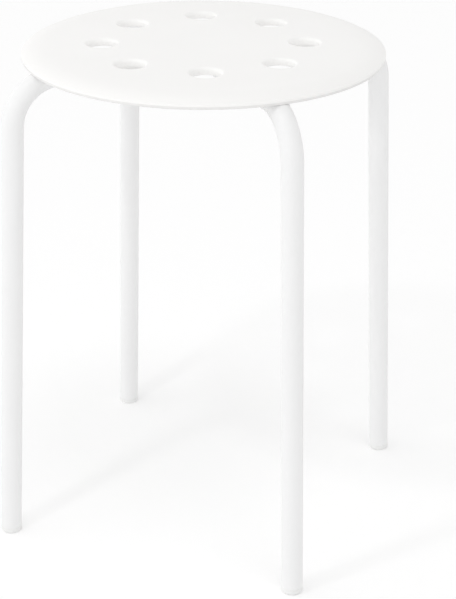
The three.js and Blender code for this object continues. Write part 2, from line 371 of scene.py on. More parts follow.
@dataclass
class Effects:
    """Shader node groups that more than one finish uses, each built once."""

    grit_fineness: float = 2.3
    grit_share: float = 0.5
    cloud_band: tuple[float, float] = (0.3, 0.7)
    wear_band: tuple[float, float] = (0.35, 0.65)
    least_wear: float = 0.25
    speck_rarity: float = 0.86
    # Noise band and least strength of the painted shade band, which stands in for shade.
    painted_shade_band: tuple[float, float] = (0.3, 0.7)
    least_painted_shade: float = 0.75

    def __post_init__(self) -> None:
        """Builds the groups."""
        self.grain = self._grain()
        self.cloud = self._cloud()
        self.edge = self._edge()
        self.speck = self._speck()
        # Painted shade: a darker band low on a piece, in place of shade.
        self.grime = self._painted_shade()

    def _grain(self) -> bpy.types.NodeTree:
        """Builds the fine rounded bumps of a spark-eroded mould or a powder coat.

        Returns:
            The group, which gives their height.
        """
        sheet = GroupSheet("fine_grain", "Height", Scale=900.0, Softness=0.4)
        given, place = sheet.given, sheet.place()
        bumps = sheet.add("TexVoronoi", {"feature": "SMOOTH_F1"}, Vector=place,
                          Scale=given["Scale"], Smoothness=given["Softness"])
        finer = sheet.maths("MULTIPLY", given["Scale"], self.grit_fineness)
        grit = sheet.add("TexNoise", Vector=place, Scale=finer, Detail=3.0, Roughness=0.55)
        share = sheet.maths("MULTIPLY", grit.outputs["Fac"], self.grit_share)
        return sheet.finish(sheet.maths("ADD", bumps.outputs["Distance"], share))

    def _cloud(self) -> bpy.types.NodeTree:
        """Builds a slow soft change over the surface.

        Returns:
            The group, which gives a mask.
        """
        sheet = GroupSheet("slow_cloud", "Mask", Scale=8.0, Seed=0.0)
        given, place = sheet.given, sheet.place()
        noise = sheet.add("TexNoise", {"noise_dimensions": "4D"}, Vector=place, W=given["Seed"],
                          Scale=given["Scale"], Detail=2.5, Roughness=0.5, Distortion=0.35)
        return sheet.finish(sheet.remap(noise.outputs["Fac"], *self.cloud_band))

    def _edge(self) -> bpy.types.NodeTree:
        """Builds the wear on outer edges, broken up by a little noise.

        Returns:
            The group, which gives a mask.
        """
        sheet = GroupSheet("edge_wear", "Mask", Start=0.51, Full=0.56, Breakup=180.0)
        given, place = sheet.given, sheet.place()
        bend = sheet.add("NewGeometry").outputs["Pointiness"]
        worn = sheet.remap(bend, given["Start"], given["Full"])
        noise = sheet.add("TexNoise", Vector=place, Scale=given["Breakup"], Detail=4.0,
                          Roughness=0.6)
        patchy = sheet.remap(noise.outputs["Fac"], *self.wear_band, new_low=self.least_wear)
        return sheet.finish(sheet.maths("MULTIPLY", worn, patchy))

    def _speck(self) -> bpy.types.NodeTree:
        """Builds sparse small specks, such as dust and pinholes.

        Returns:
            The group, which gives a mask.
        """
        sheet = GroupSheet("sparse_specks", "Mask", Scale=260.0, Size=0.12)
        given, place = sheet.given, sheet.place()
        cells = sheet.add("TexVoronoi", Vector=place, Scale=given["Scale"])
        inside = sheet.maths("LESS_THAN", cells.outputs["Distance"], given["Size"])
        chosen = sheet.add("SeparateColor", Color=cells.outputs["Color"]).outputs["Red"]
        rare = sheet.maths("GREATER_THAN", chosen, self.speck_rarity)
        return sheet.finish(sheet.maths("MULTIPLY", inside, rare))

    def _painted_shade(self) -> bpy.types.NodeTree:
        """Builds the mask of a painted shade band, below a height and outside a radius, broken up
        by a little noise.

        Returns:
            The group, which gives a mask.
        """
        sheet = GroupSheet("low_painted_shade", "Mask", Height=2 * MM, Fade=0.5 * MM, Radius=0.0,
                           Breakup=90.0)
        given, place = sheet.given, sheet.place()
        parts = sheet.add("SeparateXYZ", Vector=place).outputs
        depth = sheet.maths("SUBTRACT", given["Height"], parts["Z"])
        below = sheet.remap(depth, 0.0, given["Fade"])
        level = sheet.add("CombineXYZ", X=parts["X"], Y=parts["Y"])
        reach = sheet.add("VectorMath", {"operation": "LENGTH"}, Vector=level.outputs[0])
        outside = sheet.maths("GREATER_THAN", reach.outputs["Value"], given["Radius"])
        noise = sheet.add("TexNoise", Vector=place, Scale=given["Breakup"], Detail=3.0,
                          Roughness=0.6)
        patchy = sheet.remap(noise.outputs["Fac"], *self.painted_shade_band, new_low=self.least_painted_shade)
        band = sheet.maths("MULTIPLY", below, outside)
        return sheet.finish(sheet.maths("MULTIPLY", band, patchy))


@dataclass(frozen=True)
class Grime:
    """Painted shade: a darker band low down on a piece that stands in for shade; where it lies,
    its colour and how strongly it shows.
    """

    height: float
    fade: float
    colour: Colour
    share: float
    radius: float


@dataclass(frozen=True)
class Finish:
    """A white or metal surface: its colour, how it varies, its roughness and its fine texture."""

    name: str
    colour: Colour
    shade: Colour
    edge_colour: Colour
    speck_colour: Colour
    roughness: tuple[float, float]
    grain_scale: float
    grain_softness: float
    grain_depth: float
    cloud_scale: float
    cloud_share: float
    edge_share: float
    speck_scale: float
    speck_size: float
    speck_share: float
    seed: float
    speck_roughness: float = 0.08
    metallic: float = 0.0
    ior: float = 1.49
    gloss: float = 0.25
    # Painted shade band, if the piece has one.
    grime: Grime | None = None

    def material(self, effects: Effects) -> bpy.types.Material:
        """Builds the material.

        Args:
            effects: The shared node groups.

        Returns:
            The material.
        """
        made = bpy.data.materials.new(self.name)
        made.use_nodes = True
        made.diffuse_color = (*self.colour, 1.0)
        sheet = Sheet(made.node_tree)
        shader = made.node_tree.nodes["Principled BSDF"].inputs
        shader["Metallic"].default_value = self.metallic
        shader["IOR"].default_value = self.ior
        shader["Specular IOR Level"].default_value = self.gloss

        cloud = sheet.effect(effects.cloud, Scale=self.cloud_scale, Seed=self.seed)
        edge = sheet.effect(effects.edge)
        speck = sheet.effect(effects.speck, Scale=self.speck_scale, Size=self.speck_size)
        grain = sheet.effect(effects.grain, Scale=self.grain_scale, Softness=self.grain_softness)

        layers = [(edge, self.edge_share, self.edge_colour)]
        # Painted shade: darkens a band low on the piece, standing in for shade.
        if self.grime:
            band = sheet.effect(effects.grime, Height=self.grime.height, Fade=self.grime.fade,
                                Radius=self.grime.radius)
            layers.append((band, self.grime.share, self.grime.colour))
        layers.append((speck, self.speck_share, self.speck_colour))
        colour = sheet.blend(
            sheet.maths("MULTIPLY", cloud, self.cloud_share), self.colour, self.shade
        )
        for mask, share, over in layers:
            colour = sheet.blend(sheet.maths("MULTIPLY", mask, share), colour, over)
        sheet.feed(shader["Base Color"], colour)

        smooth = sheet.remap(cloud, 0.0, 1.0, *self.roughness)
        dusty = sheet.maths("MULTIPLY", speck, self.speck_roughness)
        sheet.feed(shader["Roughness"], sheet.maths("ADD", smooth, dusty))
        bump = sheet.add("Bump", Strength=1.0, Distance=self.grain_depth, Height=grain)
        sheet.feed(shader["Normal"], bump.outputs["Normal"])
        return made


SEAT_PLASTIC = Finish(
    name="seat_plastic", seed=2.0, roughness=(0.40, 0.50),
    colour=(0.934, 0.928, 0.916), shade=(0.922, 0.916, 0.904),
    edge_colour=(0.944, 0.939, 0.929), speck_colour=(0.80, 0.795, 0.78),
    grain_scale=1500.0, grain_softness=0.6, grain_depth=0.03 * MM,
    cloud_scale=9.0, cloud_share=0.6, edge_share=0.25,
    speck_scale=210.0, speck_size=0.10, speck_share=0.25,
    # Painted shade: a grey line round the lower edge of the rim.
    grime=Grime(height=442.75 * MM, fade=0.7 * MM, radius=155 * MM,
                colour=(0.803, 0.797, 0.786), share=1.0),
)
POWDER_COAT = Finish(
    name="powder_coat", seed=5.0, roughness=(0.32, 0.42), ior=1.52,
    colour=(0.872, 0.872, 0.872), shade=(0.858, 0.858, 0.858),
    edge_colour=(0.89, 0.89, 0.89), speck_colour=(0.80, 0.80, 0.79),
    grain_scale=520.0, grain_softness=1.0, grain_depth=0.08 * MM,
    cloud_scale=14.0, cloud_share=0.5, edge_share=0.2,
    speck_scale=300.0, speck_size=0.12, speck_share=0.2,
)
FOOT_PLASTIC = Finish(
    name="foot_plastic", seed=8.0, roughness=(0.45, 0.6),
    colour=(0.86, 0.86, 0.852), shade=(0.846, 0.846, 0.838),
    edge_colour=(0.90, 0.90, 0.89), speck_colour=(0.6, 0.59, 0.56),
    grain_scale=1300.0, grain_softness=0.5, grain_depth=0.04 * MM,
    cloud_scale=60.0, cloud_share=0.7, edge_share=0.3,
    speck_scale=420.0, speck_size=0.16, speck_share=0.4,
)
ZINC_STEEL = Finish(
    name="zinc_steel", seed=11.0, roughness=(0.28, 0.45), metallic=1.0, gloss=0.5,
    colour=(0.62, 0.635, 0.65), shade=(0.50, 0.515, 0.53),
    edge_colour=(0.78, 0.79, 0.80), speck_colour=(0.42, 0.42, 0.41),
    grain_scale=2600.0, grain_softness=0.3, grain_depth=0.02 * MM,
    cloud_scale=260.0, cloud_share=0.8, edge_share=0.6,
    speck_scale=900.0, speck_size=0.2, speck_share=0.3,
)


# Pieces of the stool


class Piece(ABC):
    """A piece of the stool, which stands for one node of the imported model."""

    slot: ClassVar[str]

    @property
    @abstractmethod
    def node(self) -> str:
        """Name of the node."""

    @abstractmethod
    def build(self) -> bpy.types.Object:
        """Makes the piece's mesh."""

    def dress(self, finish: bpy.types.Material) -> bpy.types.Object:
        """Builds the piece and gives it its finish.

        Args:
            finish: The finish.

        Returns:
            The piece.
        """
        piece = self.build()
        dress(piece, self.slot, finish, self.node)
        return piece


@dataclass
class MouldedSeat(Piece):
    """The round seat: crowned plate, rolled-down rim, ring of finger holes, and ribs below.

    The top and the underside are each a disc, a belt of patches with one hole in each, and a
    rim. A patch is bounded by arcs at the two patch radii and by sides midway between holes.
    """

    slot: ClassVar[str] = "seat_plastic"
    node: ClassVar[str] = "seat"

    height: float = 450 * MM
    radius: float = 159.5 * MM
    wall: float = 2.6 * MM
    crown_rise: float = 1.6 * MM
    shoulder_run: float = 26 * MM
    shoulder_drop: float = 4.4 * MM
    shoulder_power: int = 3
    lip_drop: float = 4.0 * MM
    corner_rounding: float = 0.7 * MM
    lip_rounding: float = 0.8 * MM
    lip_inner_rounding: float = 0.5 * MM

    hole_count: int = 8
    hole_ring: float = 89 * MM
    hole_radius: float = 13 * MM
    hole_rounding: float = 3 * MM
    collar_wall: float = 2 * MM
    collar_depth: float = 6.6 * MM
    collar_edge: float = 0.6 * MM
    collar_root: float = 1.2 * MM

    rib_thickness: float = 2 * MM
    rib_tip_thickness: float = 1.6 * MM
    rib_root: float = 1.0 * MM
    rib_edge: float = 0.5 * MM
    rib_sink_share: float = 1 / 3
    rib_least_depth: float = 2 * MM
    rib_rise_over_lip: float = 1 * MM
    inner_rib: float = 45 * MM
    outer_rib: float = 125 * MM
    spoke_end: float = 152 * MM
    channel_side: float = 11.3 * MM
    channel_end: float = 128 * MM
    channel_low: float = 436.48 * MM

    patch: tuple[float, float] = (62 * MM, 114 * MM)
    disc_shares: tuple[float, ...] = (0.1, 0.3, 0.52, 0.76, 1.0)
    mouth_shares: tuple[float, ...] = (0.0, 0.08, 0.2, 0.38, 0.62)
    mouth_even_share: float = 0.75
    arc_steps: int = 20
    side_steps: int = 14
    rim_steps: int = 4
    shoulder_steps: int = 18
    corner_steps: int = 6
    lip_steps: int = 5
    mouth_steps: int = 8
    root_steps: int = 5
    edge_steps: int = 4
    rib_tip_steps: int = 3
    rib_steps: int = 12
    ring_rib_steps: int = 24

    @property
    def shoulder_start(self) -> float:
        """Radius where the rolled-down rim begins."""
        return self.radius - self.shoulder_run

    @property
    def lip_bottom(self) -> float:
        """Height of the rim's lower edge."""
        return self.height - self.crown_rise - self.shoulder_drop - self.lip_drop

    def crown_drop(self, radius: float) -> float:
        """How far the crowned top has dropped at a radius."""
        return self.crown_rise * (radius / self.radius) ** 2

    def top_at(self, radius: float) -> float:
        """Height of the top surface.

        Args:
            radius: Distance from the seat's axis.

        Returns:
            The height.
        """
        share = min(1.0, max(0.0, (radius - self.shoulder_start) / self.shoulder_run))
        shoulder = self.shoulder_drop * share ** self.shoulder_power
        return self.height - self.crown_drop(radius) - shoulder

    def underside_at(self, radius: float) -> float:
        """Height of the plate's underside, flat inside the rim.

        Args:
            radius: Distance from the seat's axis.

        Returns:
            The height.
        """
        start, end = self.shoulder_start, self.radius - self.wall
        drop = self.height - self.crown_drop(end) - self.wall - self.lip_bottom
        share = min(1.0, max(0.0, (radius - start) / (end - start)))
        fall = drop * (1 - math.sqrt(1 - share * share))
        return self.height - self.crown_drop(max(radius, start)) - self.wall - fall

    def hole_azimuths(self) -> list[float]:
        """Azimuths of the holes, midway between the eighths of a turn."""
        return [FULL_TURN * (i + 0.5) / self.hole_count for i in range(self.hole_count)]

    def _turned_row(self, skin: Skin, radius: float, height: float) -> list[int]:
        """Adds one ring of the plate's grid."""
        return skin.row(ring(radius, height, self.hole_count * self.arc_steps))

    def _plate(
        self, skin: Skin, height_at: Callable[[float], float], mouth: float
    ) -> tuple[list[int], list[list[int]]]:
        """Adds the disc and the patches of one face of the plate, open at each hole.

        Args:
            skin: The mesh.
            height_at: Height of the face at a radius.
            mouth: Radius of the openings.

        Returns:
            The outermost ring, and the ring round each opening.
        """
        inner, outer = self.patch
        radii = [inner * share for share in self.disc_shares]
        rows = [self._turned_row(skin, radius, height_at(radius)) for radius in radii]
        skin.join_all(rows)
        skin.cap(rows[0])
        inside, outside = rows[-1], self._turned_row(skin, outer, height_at(outer))

        sides = []
        for azimuth in evenly(0.0, FULL_TURN, self.hole_count)[:-1]:
            radii = evenly(outer, inner, self.side_steps)[1:-1]
            sides.append(skin.row(polar(radius, azimuth, height_at(radius)) for radius in radii))

        mouths = []
        for k, azimuth in enumerate(self.hole_azimuths()):
            first = k * self.arc_steps
            columns = [(first + i) % len(outside) for i in range(self.arc_steps + 1)]
            border = [outside[c] for c in columns] + sides[(k + 1) % self.hole_count]
            border += [inside[c] for c in reversed(columns)] + sides[k][::-1]
            starts = self._mouth_points(azimuth, [skin.points[i] for i in border], mouth)
            rows = []
            for share in self.mouth_shares:
                points = []
                for number, start in zip(border, starts):
                    point = start.lerp(skin.points[number].xy, share)
                    points.append(Vector((*point, height_at(point.length))))
                rows.append(skin.row(points))
            skin.join_all([*rows, border])
            mouths.append(rows[0])
        return outside, mouths

    def _mouth_points(
        self, azimuth: float, border: Sequence[Vector], mouth: float
    ) -> list[Vector]:
        """Points round one opening, spread to suit the border they will be joined to.

        Args:
            azimuth: The hole's azimuth.
            border: The patch's border, in order round the hole.
            mouth: Radius of the opening.

        Returns:
            The points, level.
        """
        centre = polar(self.hole_ring, azimuth).xy
        points = []
        for i, corner in enumerate(border):
            even = FULL_TURN * (i - self.arc_steps / 2) / len(border)
            away = corner.xy - centre
            true = math.atan2(away.y, away.x) - azimuth
            true -= FULL_TURN * round((true - even) / FULL_TURN)
            angle = azimuth + true + (even - true) * self.mouth_even_share
            points.append(centre + polar(mouth, angle).xy)
        return points

    def _collar(self, skin: Skin, azimuth: float, above: list[int], below: list[int]) -> None:
        """Adds a hole's rolled edge, its wall and its collar, from the top face to the underside.

        Args:
            skin: The mesh.
            azimuth: The hole's azimuth.
            above: The ring round the hole in the top face.
            below: The ring round the collar in the underside.
        """
        edge, root = self.collar_edge, self.collar_root
        inner, outer = self.hole_radius, self.hole_radius + self.collar_wall
        top, tip = self.top_at(self.hole_ring), edge - self.collar_depth
        under = self.underside_at(self.hole_ring) - top
        profile = arc((inner + self.hole_rounding, -self.hole_rounding), self.hole_rounding,
                      90, 180, self.mouth_steps)[1:]
        profile += arc((inner + edge, tip), edge, 180, 270, self.edge_steps)
        profile += arc((outer - edge, tip), edge, 270, 360, self.edge_steps)
        profile += arc((outer + root, under - root), root, 180, 90, self.root_steps)[:-1]

        angles = []
        for number in above:
            away = skin.points[number].xy - polar(self.hole_ring, azimuth).xy
            angles.append(math.atan2(away.y, away.x) - azimuth)
        slope = math.atan(2 * self.crown_drop(self.hole_ring) / self.hole_ring)
        place = Matrix.Rotation(azimuth, 4, "Z") @ Matrix.Translation((self.hole_ring, 0, top))
        place = place @ Matrix.Rotation(slope, 4, "Y")
        rows = [above]
        for radius, depth in profile:
            rows.append(skin.row(place @ polar(radius, angle, depth) for angle in angles))
        skin.join_all([*rows, below])

    def _shell(self, skin: Skin) -> None:
        """Adds the plate with its rim and collars, as one closed body.

        Args:
            skin: The mesh.
        """
        collar = self.hole_radius + self.collar_wall
        top, mouths = self._plate(skin, self.top_at, self.hole_radius + self.hole_rounding)
        under, roots = self._plate(skin, self.underside_at, collar + self.collar_root)
        start, end = self.shoulder_start, self.radius - self.wall
        level = evenly(self.patch[1], start, self.rim_steps)[1:]
        shares = [math.sin(t) for t in evenly(0.0, QUARTER_TURN, self.shoulder_steps)]

        corner = self.corner_rounding
        lean = math.atan(self.shoulder_power * self.shoulder_drop / self.shoulder_run)
        edge = self.radius - corner * (1 - math.sin(lean))
        radii = level + [start + (edge - start) * share for share in shares[1:]]
        profile = [(radius, self.top_at(radius)) for radius in radii]
        middle = (self.radius - corner, self.top_at(edge) - corner * math.cos(lean))
        profile += arc(middle, corner, 90 - math.degrees(lean), 0, self.corner_steps)[1:]

        lip, inner = self.lip_rounding, self.lip_inner_rounding
        profile += arc((self.radius - lip, self.lip_bottom + lip), lip, 0, -90, self.lip_steps)
        profile += arc((end + inner, self.lip_bottom + inner), inner, 270, 180, self.edge_steps)
        radii = level + [start + (end - start) * share for share in shares[1:-2]]
        profile += [(radius, self.underside_at(radius)) for radius in reversed(radii)]

        rows = [self._turned_row(skin, radius, height) for radius, height in profile]
        skin.join_all([top, *rows, under])
        for azimuth, above, below in zip(self.hole_azimuths(), mouths, roots):
            self._collar(skin, azimuth, above, below)

    def _rib(self, skin: Skin, places: Iterable[tuple[Vector, Vector]], low: float) -> None:
        """Adds a rib with a rounded tip, a little draft and a rounded root.

        Args:
            skin: The mesh.
            places: Points along the rib with the direction across it at each.
            low: Height of its tip.
        """
        half, tip = self.rib_thickness / 2, self.rib_tip_thickness / 2
        root, edge = self.rib_root, self.rib_edge
        rings = []
        for place, across in places:
            top = self.underside_at(place.length)
            depth = max(top - low, self.rib_least_depth)
            side = [(half + root, self.wall * self.rib_sink_share)]
            side += arc((half + root, -root), root, 90, 180, self.edge_steps)
            side += arc((tip - edge, edge - depth), edge, 0, -90, self.rib_tip_steps)
            outline = side + [(-offset, height) for offset, height in reversed(side)]
            rings.append([
                Vector((*(place + across * offset), top + height)) for offset, height in outline
            ])
        skin.tube(rings)

    def _straight_rib(
        self, skin: Skin, azimuth: float, start: float, end: float, low: float, beside: float = 0.0
    ) -> None:
        """Adds a rib along a radius, or beside one.

        Args:
            skin: The mesh.
            azimuth: The radius's azimuth.
            start: Where the rib starts along it.
            end: Where the rib ends along it.
            low: Height of its tip.
            beside: How far beside it the rib lies.
        """
        along = polar(1.0, azimuth).xy
        across = Vector((-along.y, along.x))
        reaches = evenly(start, end, self.rib_steps)
        self._rib(skin, [(along * reach + across * beside, across) for reach in reaches], low)

    def _ribs(self, skin: Skin) -> None:
        """Adds the ring ribs, the spokes and the ribs that hold the tubes.

        Args:
            skin: The mesh.
        """
        low = self.lip_bottom + self.rib_rise_over_lip
        for side in Side:
            start, end = side.azimuth, side.azimuth + QUARTER_TURN
            for radius in (self.inner_rib, self.outer_rib):
                edge = math.asin(self.channel_side / radius)
                turns = evenly(start + edge, end - edge, self.ring_rib_steps)
                outwards = [polar(1.0, turn).xy for turn in turns]
                self._rib(skin, [(across * radius, across) for across in outwards], low)
            for beside in (-self.channel_side, self.channel_side):
                self._straight_rib(skin, start, self.inner_rib, self.channel_end,
                                   self.channel_low, beside)
            self._straight_rib(skin, (start + end) / 2, self.inner_rib, self.spoke_end, low)
        collar = self.hole_radius + self.collar_wall / 2
        collar_low = self.top_at(self.hole_ring) - self.collar_depth
        for azimuth in self.hole_azimuths():
            for start, end in ((self.inner_rib, self.hole_ring - collar),
                               (self.hole_ring + collar, self.spoke_end)):
                self._straight_rib(skin, azimuth, start, end, collar_low)

    def build(self) -> bpy.types.Object:
        """Makes the seat's mesh.

        Returns:
            The seat.
        """
        skin = Skin()
        self._shell(skin)
        self._ribs(skin)
        return skin.build("seat_moulding")


@dataclass
class Station:
    """A place along a tube's axis: where it is, how far it has turned down, and its radius."""

    x: float
    z: float
    angle: float
    radius: float


@dataclass
class LegFrame(Piece):
    """One steel tube bent to a U, pressed to half its height where it crosses the other."""

    slot: ClassVar[str] = "powder_coat"

    name: str
    press: Press
    side: Side

    tube_radius: float = TUBE_RADIUS
    tube_wall: float = 1.2 * MM
    bend_radius: float = 43 * MM
    leg_reach: float = LEG_REACH
    splay: float = LEG_SPLAY
    crown_height: float = 436.479 * MM
    pressed_half: float = 4.675 * MM
    press_margin: float = 1.5 * MM
    press_ramp: float = 24 * MM
    end_height: float = 5.08 * MM
    end_rounding: float = 0.12 * MM
    end_run: float = 0.48 * MM
    bore_depth: float = 28.5 * MM

    sides: int = 64
    flat_steps: int = 4
    ramp_steps: int = 18
    straight_steps: int = 8
    bend_steps: int = 44
    leg_steps: int = 16
    outer_end_steps: int = 4
    inner_end_steps: int = 3

    @property
    def node(self) -> str:
        """Name of the node."""
        return f"{self.name}_leg_frame"

    @property
    def spread(self) -> float:
        """Half the width of the pressed flat, which keeps the tube's girth."""
        return (self.tube_radius - self.pressed_half) * QUARTER_TURN

    @property
    def flat_half(self) -> float:
        """Distance from the crossing at which the pressed flat ends."""
        return self.pressed_half + self.spread + self.press_margin

    def _leg_place(self, up: float, radius: float) -> Station:
        """A place on the leg at a distance up it from the floor."""
        x = self.leg_reach - up * math.sin(self.splay)
        return Station(x, up * math.cos(self.splay), QUARTER_TURN - self.splay, radius)

    def _half(self) -> list[Station]:
        """Places from the crossing over the bend to the tube's end, and a little way up its bore.

        Returns:
            The places.
        """
        outer, bore = self.tube_radius, self.tube_radius - self.tube_wall
        turn = QUARTER_TURN - self.splay
        bend_start = self.leg_reach - self.crown_height * math.tan(self.splay)
        bend_start -= self.bend_radius * math.tan(turn / 2)
        ramp_end = self.flat_half + self.press_ramp
        reaches = evenly(0.0, self.flat_half, self.flat_steps)
        reaches += evenly(self.flat_half, ramp_end, self.ramp_steps)[1:]
        reaches += evenly(ramp_end, bend_start, self.straight_steps)[1:-1]
        places = [Station(x, self.crown_height, 0.0, outer) for x in reaches]
        for angle in evenly(0.0, turn, self.bend_steps):
            x = bend_start + self.bend_radius * math.sin(angle)
            z = self.crown_height - self.bend_radius * (1 - math.cos(angle))
            places.append(Station(x, z, angle, outer))

        top = (self.leg_reach - places[-1].x) / math.sin(self.splay)
        end, rounding = self.end_height, self.end_rounding
        for up in evenly(top, end + self.end_run, self.leg_steps)[1:]:
            places.append(self._leg_place(up, outer))
        level = end + rounding
        rim = arc((outer - rounding, level), rounding, 0, -90, self.outer_end_steps)
        rim += arc((bore + rounding, level), rounding, -90, -180, self.inner_end_steps)
        places += [self._leg_place(up, across) for across, up in rim]
        places.append(self._leg_place(end + self.bore_depth, bore))
        return places

    def _section(self, place: Station) -> list[Vector]:
        """The tube's section at a place, round or pressed flat.

        Args:
            place: The place.

        Returns:
            The section's points.
        """
        share = min(1.0, max(0.0, (abs(place.x) - self.flat_half) / self.press_ramp))
        press = 1 - share * share * (3 - 2 * share)
        shift = self.press.value * (self.tube_radius - self.pressed_half)
        normal = Vector((math.sin(place.angle), 0.0, math.cos(place.angle)))
        points = []
        for i in range(self.sides):
            angle = FULL_TURN * (i + 0.5) / self.sides
            across, up = place.radius * math.cos(angle), place.radius * math.sin(angle)
            if press:
                flat_across, flat_up = self._pressed_point(angle)
                across += (flat_across - across) * press
                up += (flat_up + shift - up) * press
            point = Vector((place.x, 0.0, place.z)) + normal * up
            point.y = across
            points.append(point)
        return points

    def _pressed_point(self, angle: float) -> tuple[float, float]:
        """A point on the pressed section, at the same share of its girth as on the round tube.

        Args:
            angle: The point's angle on the round tube, in radians.

        Returns:
            Its place across and up from the flat's middle.
        """
        walked = math.asin(min(1.0, abs(math.sin(angle)))) * self.tube_radius
        rounded = self.pressed_half * QUARTER_TURN
        if walked < rounded:
            turn = walked / self.pressed_half
            across = self.spread + self.pressed_half * math.cos(turn)
            up = self.pressed_half * math.sin(turn)
        else:
            across = self.spread - (walked - rounded)
            up = self.pressed_half
        return math.copysign(across, math.cos(angle)), math.copysign(up, math.sin(angle))

    def build(self) -> bpy.types.Object:
        """Makes the tube's mesh.

        Returns:
            The tube.
        """
        half = self._half()
        mirrored = [Station(-p.x, p.z, -p.angle, p.radius) for p in reversed(half[1:])]
        turn = self.side.turn
        skin = Skin()
        skin.tube([turn @ point for point in self._section(place)] for place in mirrored + half)
        return skin.build(f"{self.name}_tube")


@dataclass
class FootCap(Piece):
    """A plastic plug with a round foot, cut level where it stands on the floor."""

    slot: ClassVar[str] = "foot_plastic"

    side: Side

    radius: float = TUBE_RADIUS
    foot_height: float = 5 * MM
    sole_rounding: float = 2.4 * MM
    top_rounding: float = 0.12 * MM
    plug_radius: float = 7.3 * MM
    plug_core: float = 6.9 * MM
    plug_length: float = 16 * MM
    barb_count: int = 2
    barb_pitch: float = 6 * MM
    leg_reach: float = LEG_REACH
    splay: float = LEG_SPLAY

    sole_shares: tuple[float, ...] = (0.25, 0.5, 0.68)
    sides: int = 72
    sole_steps: int = 9
    top_steps: int = 4

    @property
    def node(self) -> str:
        """Name of the node."""
        return f"foot_cap_{self.side.label}"

    def build(self) -> bpy.types.Object:
        """Makes the cap's mesh, its sole flat on the floor.

        Returns:
            The cap.
        """
        low, top = -self.radius * math.sin(self.splay), self.foot_height
        sole, rim, core = self.sole_rounding, self.top_rounding, self.plug_core
        profile: Profile = [(self.radius * share, low) for share in self.sole_shares]
        profile += arc((self.radius - sole, low + sole), sole, -90, 0, self.sole_steps)
        profile += arc((self.radius - rim, top - rim), rim, 0, 90, self.top_steps)
        profile.append((core, top))
        for i in range(self.barb_count):
            start = top + self.barb_pitch * (i + 0.5)
            end = start + self.barb_pitch / 2
            profile += [(core, start), (self.plug_radius, start), (core, end)]
        profile.append((core - rim, top + self.plug_length))
        place = self.side.turn @ Matrix.Translation((self.leg_reach, 0, 0))
        place = place @ Matrix.Rotation(-self.splay, 4, "Y")
        rings = []
        for radius, height in profile:
            points = [place @ point for point in ring(radius, height, self.sides)]
            rings.append([Vector((p.x, p.y, max(p.z, 0.0))) for p in points])
        skin = Skin()
        skin.tube(rings)
        return skin.build(f"foot_{self.side.label}")


@dataclass
class SeatScrew(Piece):
    """A pan-head screw with a cross recess, driven up through the tube into the seat.

    The recess shares hold, for each ring of a wing, its share of the recess's span, width and
    depth.
    """

    slot: ClassVar[str] = "zinc_steel"

    side: Side
    twist: float

    reach: float = 110 * MM
    bearing_height: float = 426.679 * MM
    head_radius: float = 4.1 * MM
    head_height: float = 2.8 * MM
    head_power: float = 0.85
    shank_radius: float = 2.1 * MM
    shank_length: float = 16 * MM
    recess_span: float = 4.6 * MM
    recess_width: float = 1.1 * MM
    recess_depth: float = 1.8 * MM
    recess_shares: tuple[tuple[float, float, float], ...] = (
        (1.12, 1.12, -0.3), (1.0, 1.0, 0.0), (0.35, 0.75, 1.0),
    )

    sides: int = 48
    head_steps: int = 12
    sharp: float = 30.0

    @property
    def node(self) -> str:
        """Name of the node."""
        return f"seat_screw_{self.side.label}"

    def _place(self) -> Matrix:
        """Where the screw stands, its point upwards."""
        place = self.side.turn @ Matrix.Translation((self.reach, 0, self.bearing_height))
        return place @ Matrix.Rotation(self.twist, 4, "Z")

    def _wing(self, turn: float) -> bpy.types.Object:
        """One tapered wing of the recess, as a cutter.

        Args:
            turn: Its turn about the screw's axis.

        Returns:
            The cutter.
        """
        place = self._place() @ Matrix.Rotation(turn, 4, "Z")
        rings = []
        for span, width, depth in self.recess_shares:
            x, y = self.recess_span * span / 2, self.recess_width * width / 2
            z = self.recess_depth * depth - self.head_height
            corners = ((x, y, z), (-x, y, z), (-x, -y, z), (x, -y, z))
            rings.append([place @ Vector(corner) for corner in corners])
        skin = Skin()
        skin.tube(rings)
        return skin.build("wing")

    def build(self) -> bpy.types.Object:
        """Makes the screw's mesh and cuts its recess.

        Returns:
            The screw.
        """
        profile: Profile = []
        for angle in evenly(0.0, QUARTER_TURN, self.head_steps)[1:]:
            out, down = math.sin(angle), max(math.cos(angle), 0.0)
            profile.append((self.head_radius * out ** self.head_power,
                            -self.head_height * down ** self.head_power))
        profile += [(self.shank_radius, 0.0), (self.shank_radius, self.shank_length)]
        place = self._place()
        skin = Skin()
        skin.tube([place @ p for p in ring(r, h, self.sides)] for r, h in profile)
        piece = skin.build(f"screw_{self.side.label}", self.sharp)
        for turn in (0.0, QUARTER_TURN):
            wing = self._wing(turn)
            cut = piece.modifiers.new("recess", "BOOLEAN")
            cut.operation = "DIFFERENCE"
            cut.solver = "EXACT"
            cut.object = wing
            evaluated = piece.evaluated_get(bpy.context.evaluated_depsgraph_get())
            result = bpy.data.meshes.new_from_object(evaluated)
            piece.modifiers.clear()
            piece.data = result
            bpy.data.objects.remove(wing)
        return piece


# Studio


def hang(name: str, data: bpy.types.Light, position: Vector) -> None:
    """Hangs a lamp so that it faces the spot on the floor under the seat.

    Args:
        name: The lamp's name.
        data: The lamp.
        position: Where it hangs.
    """
    lamp = stand(name, data)
    lamp.location = position
    lamp.rotation_mode = "QUATERNION"
    lamp.rotation_quaternion = position.to_track_quat("Z", "Y")


@dataclass(frozen=True)
class FarLamp:
    """A far lamp, its angles in degrees, and its share of a white level surface's light."""

    name: str
    azimuth: float
    elevation: float
    share: float
    softness: float
    distance: float = 2.0

    def place(self) -> None:
        """Makes the lamp."""
        azimuth, elevation = math.radians(self.azimuth), math.radians(self.elevation)
        data = bpy.data.lights.new(self.name, "SUN")
        data.energy = self.share * math.pi / math.sin(elevation)
        data.angle = math.radians(self.softness)
        towards = polar(math.cos(elevation), azimuth, math.sin(elevation))
        hang(self.name, data, towards * self.distance)


